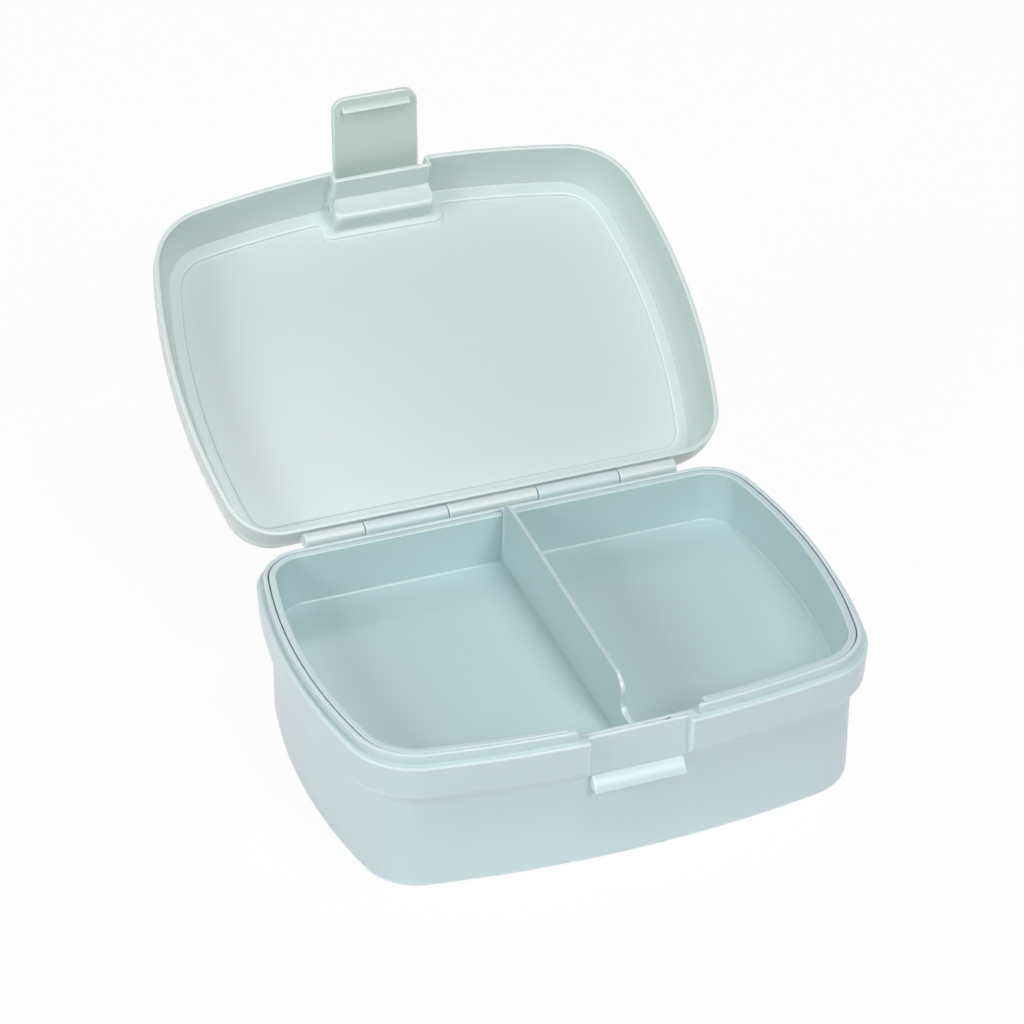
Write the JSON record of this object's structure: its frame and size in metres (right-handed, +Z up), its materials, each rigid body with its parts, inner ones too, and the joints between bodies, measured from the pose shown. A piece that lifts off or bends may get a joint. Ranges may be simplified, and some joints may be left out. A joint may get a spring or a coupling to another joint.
{
  "type": "hinged lunch box",
  "caption": "Rounded plastic lunch box with a hinged lid, a front snap latch on the lid and a lift-out divided tray over a deep lower compartment.",
  "frame": {"origin": "centre of the base's flat underside, midway between its widest sides and between its front and back", "axes": "+Z up out of the box, +X to the right seen from the front, +Y from the latch side towards the hinge"},
  "size_m": [0.175, 0.2368, 0.1407],
  "materials": {
    "base_plastic": "satin moulded polypropylene, pale grey blue",
    "lid_plastic": "satin moulded polypropylene, pale mint",
    "tray_plastic": "glossy moulded polypropylene, grey blue",
    "latch_plastic": "satin moulded polypropylene, pale grey mint",
    "pin_steel": "bright drawn wire"
  },
  "bodies": {
    "base": {"base_shell": "base_plastic", "hinge_pin": "pin_steel"},
    "lid": {"lid_shell": "lid_plastic", "latch_pin": "pin_steel"},
    "latch": {"latch": "latch_plastic"},
    "tray": {"tray_insert": "tray_plastic"}
  },
  "joints": [
    {"name": "lid_hinge", "type": "hinge", "parent": "base", "child": "lid", "pos_m": [0, 0.06415, 0.0496], "axis": [1, 0, 0], "range_deg": [0, 148]},
    {"name": "latch_hinge", "type": "hinge", "parent": "lid", "child": "latch", "pos_m": [0, 0.171, 0.10251], "axis": [-1, 0, 0], "range_deg": [-21, 150]},
    {"name": "tray_lift", "type": "slide", "parent": "base", "child": "tray", "axis": [0, 0, 1], "range_m": [0, 0.075]}
  ]
}
